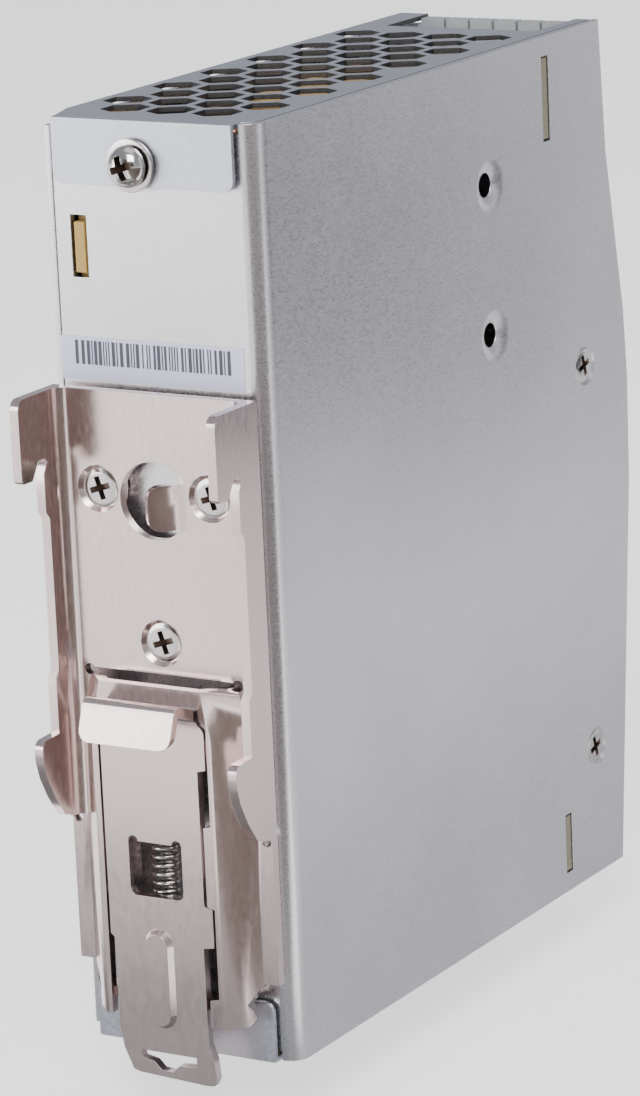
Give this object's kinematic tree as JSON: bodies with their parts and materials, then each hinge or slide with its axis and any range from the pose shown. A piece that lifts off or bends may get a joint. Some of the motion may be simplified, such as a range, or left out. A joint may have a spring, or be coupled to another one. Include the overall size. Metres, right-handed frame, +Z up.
{
  "type": "din rail power supply",
  "caption": "Slim upright sheet-metal DIN rail power supply with vented top and bottom, rear rail hooks and a sprung release lever.",
  "frame": {"origin": "middle of the rail seat: half way across the case, on the plane the rail's back rests against, half way up a fitted 35 mm rail", "axes": "+Y from the case towards the rail, -Y towards the terminals, +Z up, X across the narrow width"},
  "size_m": [0.032, 0.1143, 0.1277],
  "materials": {
    "coated_steel": "fine-grained satin coated steel sheet",
    "galvanised": "matt zinc-coated steel sheet",
    "nickel": "warm satin nickel plating on pressed steel",
    "screw_steel": "bright nickel-plated screw steel",
    "spring_steel": "drawn spring wire",
    "panel_plastic": "light grey moulded plastic, fine texture",
    "terminal_plastic": "grey moulded plastic",
    "terminal_metal": "tin-plated terminal metal",
    "board": "tan glass-epoxy board",
    "insulator": "thin cream insulating sheet",
    "ferrite": "dark sintered ferrite",
    "tape": "tan insulating tape over windings",
    "copper": "enamelled copper wire",
    "can_sleeve": "dark plastic sleeve over an aluminium can",
    "film_case": "yellow plastic case",
    "aluminium": "plain aluminium sheet",
    "chip_case": "black moulded epoxy",
    "glass": "clear glass tube",
    "green_lens": "green translucent plastic",
    "blue_plastic": "blue lacquer or moulded plastic"
  },
  "bodies": {
    "case": {"chassis_shell": "coated_steel", "side_cover": "coated_steel", "top_cover": "galvanised", "bottom_cover": "galvanised", "front_panel": "panel_plastic", "clip_bracket": "nickel", "lever_spring": "spring_steel", "bracket_screw_left": "screw_steel", "bracket_screw_right": "screw_steel", "bracket_screw_lower": "screw_steel", "cover_screw": "screw_steel", "cover_washer": "screw_steel", "side_screw_upper": "screw_steel", "side_screw_lower": "screw_steel", "main_board": "board", "terminal_board": "board", "insulating_sheet": "insulator", "transformer_core": "ferrite", "transformer_winding": "tape", "line_filter_capacitor": "film_case", "primary_heat_sink": "aluminium", "switching_transistor": "chip_case", "bridge_rectifier": "chip_case", "output_heat_sink": "aluminium", "output_rectifier": "chip_case", "alarm_relay": "chip_case", "bulk_capacitor": "can_sleeve", "output_capacitor_1": "can_sleeve", "output_capacitor_2": "can_sleeve", "line_choke": "copper", "output_choke": "copper", "fuse": "glass", "surge_varistor": "blue_plastic", "status_lamp": "green_lens", "light_pipe": "green_lens", "trimmer_body": "blue_plastic", "output_terminal_block": "terminal_plastic", "input_terminal_block": "terminal_plastic"},
    "output_screw_1": {"output_screw_1": "terminal_metal"},
    "output_clamp_1": {"output_clamp_1": "terminal_metal"},
    "output_screw_2": {"output_screw_2": "terminal_metal"},
    "output_clamp_2": {"output_clamp_2": "terminal_metal"},
    "output_screw_3": {"output_screw_3": "terminal_metal"},
    "output_clamp_3": {"output_clamp_3": "terminal_metal"},
    "output_screw_4": {"output_screw_4": "terminal_metal"},
    "output_clamp_4": {"output_clamp_4": "terminal_metal"},
    "output_screw_5": {"output_screw_5": "terminal_metal"},
    "output_clamp_5": {"output_clamp_5": "terminal_metal"},
    "output_screw_6": {"output_screw_6": "terminal_metal"},
    "output_clamp_6": {"output_clamp_6": "terminal_metal"},
    "input_screw_1": {"input_screw_1": "terminal_metal"},
    "input_clamp_1": {"input_clamp_1": "terminal_metal"},
    "input_screw_2": {"input_screw_2": "terminal_metal"},
    "input_clamp_2": {"input_clamp_2": "terminal_metal"},
    "input_screw_3": {"input_screw_3": "terminal_metal"},
    "input_clamp_3": {"input_clamp_3": "terminal_metal"},
    "release_lever": {"release_lever": "nickel"},
    "trimmer_rotor": {"trimmer_rotor": "panel_plastic"}
  },
  "joints": [
    {"name": "lever_slide", "type": "slide", "parent": "case", "child": "release_lever", "axis": [0, 0, -1], "range_m": [0, 0.0065], "stiffness_N_per_m": 1200, "springref_m": -0.003, "deforming": ["lever_spring"]},
    {"name": "trimmer_turn", "type": "hinge", "parent": "case", "child": "trimmer_rotor", "pos_m": [0.0045, -0.0972, 0.0263], "axis": [0, 1, 0], "range_deg": [-135, 135]},
    {"name": "output_screw_1_turn", "type": "hinge", "parent": "case", "child": "output_screw_1", "pos_m": [-0.01035, -0.0988, 0.0473], "axis": [0, 1, 0], "range_deg": [0, 1440]},
    {"name": "output_clamp_1_slide", "type": "slide", "parent": "case", "child": "output_clamp_1", "axis": [0, -1, 0], "range_m": [0, 0.002]},
    {"name": "output_screw_2_turn", "type": "hinge", "parent": "case", "child": "output_screw_2", "pos_m": [-0.00645, -0.0988, 0.0473], "axis": [0, 1, 0], "range_deg": [0, 1440]},
    {"name": "output_clamp_2_slide", "type": "slide", "parent": "case", "child": "output_clamp_2", "axis": [0, -1, 0], "range_m": [0, 0.002]},
    {"name": "output_screw_3_turn", "type": "hinge", "parent": "case", "child": "output_screw_3", "pos_m": [-0.00255, -0.0988, 0.0473], "axis": [0, 1, 0], "range_deg": [0, 1440]},
    {"name": "output_clamp_3_slide", "type": "slide", "parent": "case", "child": "output_clamp_3", "axis": [0, -1, 0], "range_m": [0, 0.002]},
    {"name": "output_screw_4_turn", "type": "hinge", "parent": "case", "child": "output_screw_4", "pos_m": [0.00135, -0.0988, 0.0473], "axis": [0, 1, 0], "range_deg": [0, 1440]},
    {"name": "output_clamp_4_slide", "type": "slide", "parent": "case", "child": "output_clamp_4", "axis": [0, -1, 0], "range_m": [0, 0.002]},
    {"name": "output_screw_5_turn", "type": "hinge", "parent": "case", "child": "output_screw_5", "pos_m": [0.00525, -0.0988, 0.0473], "axis": [0, 1, 0], "range_deg": [0, 1440]},
    {"name": "output_clamp_5_slide", "type": "slide", "parent": "case", "child": "output_clamp_5", "axis": [0, -1, 0], "range_m": [0, 0.002]},
    {"name": "output_screw_6_turn", "type": "hinge", "parent": "case", "child": "output_screw_6", "pos_m": [0.00915, -0.0988, 0.0473], "axis": [0, 1, 0], "range_deg": [0, 1440]},
    {"name": "output_clamp_6_slide", "type": "slide", "parent": "case", "child": "output_clamp_6", "axis": [0, -1, 0], "range_m": [0, 0.002]},
    {"name": "input_screw_1_turn", "type": "hinge", "parent": "case", "child": "input_screw_1", "pos_m": [-0.0066, -0.0988, -0.0497], "axis": [0, 1, 0], "range_deg": [0, 1440]},
    {"name": "input_clamp_1_slide", "type": "slide", "parent": "case", "child": "input_clamp_1", "axis": [0, -1, 0], "range_m": [0, 0.002]},
    {"name": "input_screw_2_turn", "type": "hinge", "parent": "case", "child": "input_screw_2", "pos_m": [0, -0.0988, -0.0497], "axis": [0, 1, 0], "range_deg": [0, 1440]},
    {"name": "input_clamp_2_slide", "type": "slide", "parent": "case", "child": "input_clamp_2", "axis": [0, -1, 0], "range_m": [0, 0.002]},
    {"name": "input_screw_3_turn", "type": "hinge", "parent": "case", "child": "input_screw_3", "pos_m": [0.0066, -0.0988, -0.0497], "axis": [0, 1, 0], "range_deg": [0, 1440]},
    {"name": "input_clamp_3_slide", "type": "slide", "parent": "case", "child": "input_clamp_3", "axis": [0, -1, 0], "range_m": [0, 0.002]}
  ],
  "couplings": [
    {"joint": "output_screw_1_turn", "follows": "output_clamp_1_slide", "rad_per_m": 12566},
    {"joint": "output_screw_2_turn", "follows": "output_clamp_2_slide", "rad_per_m": 12566},
    {"joint": "output_screw_3_turn", "follows": "output_clamp_3_slide", "rad_per_m": 12566},
    {"joint": "output_screw_4_turn", "follows": "output_clamp_4_slide", "rad_per_m": 12566},
    {"joint": "output_screw_5_turn", "follows": "output_clamp_5_slide", "rad_per_m": 12566},
    {"joint": "output_screw_6_turn", "follows": "output_clamp_6_slide", "rad_per_m": 12566},
    {"joint": "input_screw_1_turn", "follows": "input_clamp_1_slide", "rad_per_m": 12566},
    {"joint": "input_screw_2_turn", "follows": "input_clamp_2_slide", "rad_per_m": 12566},
    {"joint": "input_screw_3_turn", "follows": "input_clamp_3_slide", "rad_per_m": 12566}
  ]
}
